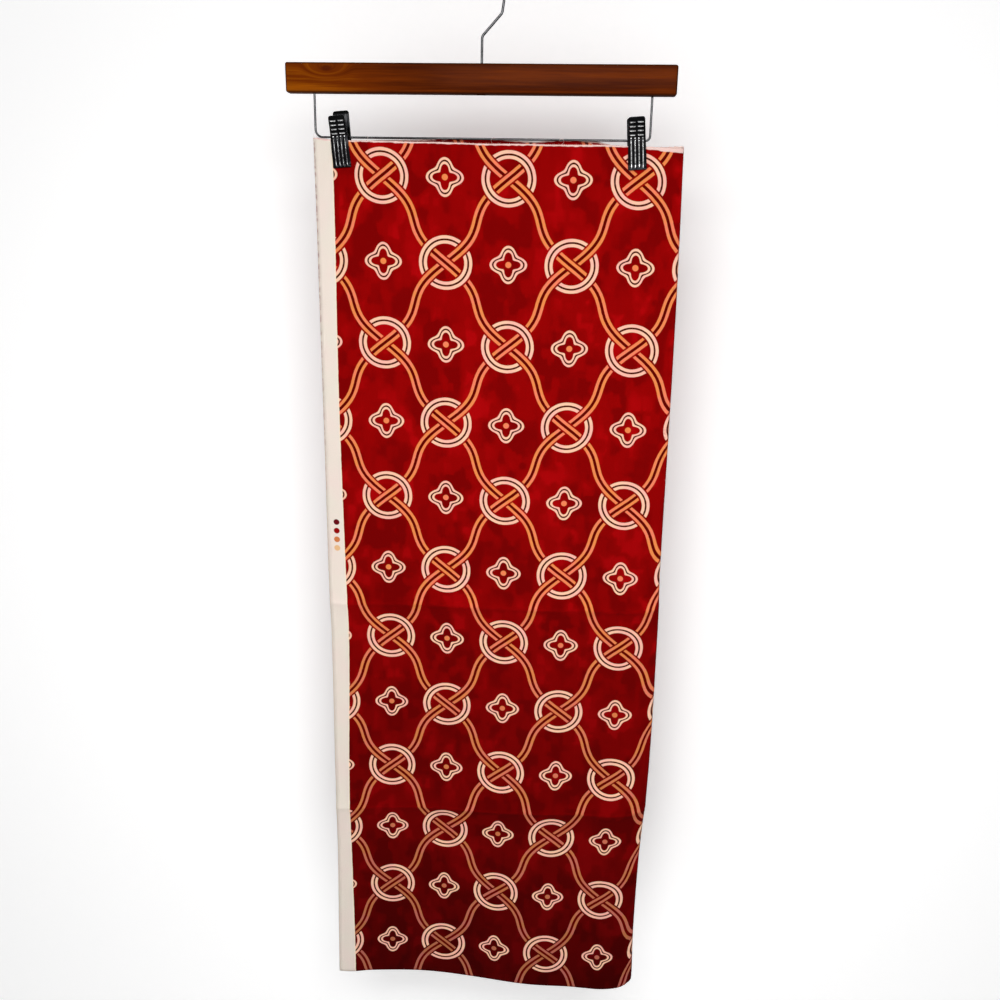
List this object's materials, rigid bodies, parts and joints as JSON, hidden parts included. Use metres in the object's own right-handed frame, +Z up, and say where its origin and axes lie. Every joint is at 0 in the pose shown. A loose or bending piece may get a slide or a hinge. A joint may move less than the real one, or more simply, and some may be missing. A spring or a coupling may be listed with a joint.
{
  "type": "folded upholstery fabric on a clip hanger",
  "caption": "Cut length of printed cotton upholstery fabric, folded flat and hung by spring clips from a wooden bar hanger with a swivelling wire hook.",
  "frame": {"origin": "inside of the top of the hook's bend, where it rests on a rail, in the middle plane of the hook wire", "axes": "+Z up, +X to the right along the bar as the printed face is looked at, front of the folded cloth towards -Y"},
  "size_m": [0.3657, 0.0226, 1.0537],
  "materials": {
    "printed_cotton": "matt plain weave, screen printed on one side, with bare cream selvedges",
    "lacquered_wood": "red-brown lacquer over a straight grain",
    "plated_wire": "dark bright-plated steel wire",
    "plated_clip": "dark bright-plated pressed steel with raised grip bumps and ribs"
  },
  "bodies": {
    "hook": {"hook": "plated_wire"},
    "hanger": {"wood_bar": "lacquered_wood", "clip_rod": "plated_wire", "clip_left_front": "plated_clip", "clip_left_back": "plated_clip", "clip_left_spring": "plated_wire", "clip_right_front": "plated_clip", "clip_right_back": "plated_clip", "clip_right_spring": "plated_wire", "cloth": "printed_cotton"}
  },
  "joints": [
    {"name": "hook_swivel", "type": "hinge", "parent": "hook", "child": "hanger", "pos_m": [0, 0, -0.0832], "axis": [0, 0, 1], "continuous": true}
  ]
}
